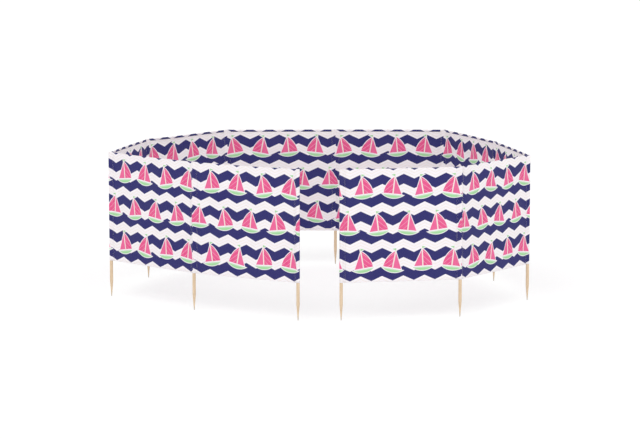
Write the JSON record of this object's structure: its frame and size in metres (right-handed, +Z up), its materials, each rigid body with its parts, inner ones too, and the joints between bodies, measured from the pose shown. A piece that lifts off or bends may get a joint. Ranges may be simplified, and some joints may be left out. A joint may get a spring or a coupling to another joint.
{
  "type": "beach windbreak",
  "caption": "Printed cloth screen on pointed wooden stakes in sewn pockets, set up as a ring with a narrow entrance, as used on a beach.",
  "frame": {"origin": "the blunt tip of the middle stake, stake_06, opposite the entrance", "axes": "+Z up along the stakes, +X to the right as seen from the entrance side, +Y away from the entrance; the ring lies on the -Y side of the origin"},
  "size_m": [2.8827, 2.3199, 1.0015],
  "materials": {
    "stake_wood": "bare softwood, planed and turned, slightly rough",
    "printed_cloth": "plain weave cloth, printed with a zigzag band pattern and small sailing boats, matte"
  },
  "bodies": {
    "root": {"stake_01": "stake_wood", "stake_02": "stake_wood", "stake_03": "stake_wood", "stake_04": "stake_wood", "stake_05": "stake_wood", "stake_06": "stake_wood", "stake_07": "stake_wood", "stake_08": "stake_wood", "stake_09": "stake_wood", "stake_10": "stake_wood", "stake_11": "stake_wood", "bay_01": "printed_cloth", "bay_02": "printed_cloth", "bay_03": "printed_cloth", "bay_04": "printed_cloth", "bay_05": "printed_cloth", "bay_06": "printed_cloth", "bay_07": "printed_cloth", "bay_08": "printed_cloth", "bay_09": "printed_cloth", "bay_10": "printed_cloth", "pocket_01": "printed_cloth", "pocket_02": "printed_cloth", "pocket_03": "printed_cloth", "pocket_04": "printed_cloth", "pocket_05": "printed_cloth", "pocket_06": "printed_cloth", "pocket_07": "printed_cloth", "pocket_08": "printed_cloth", "pocket_09": "printed_cloth", "pocket_10": "printed_cloth", "pocket_11": "printed_cloth"}
  },
  "joints": []
}
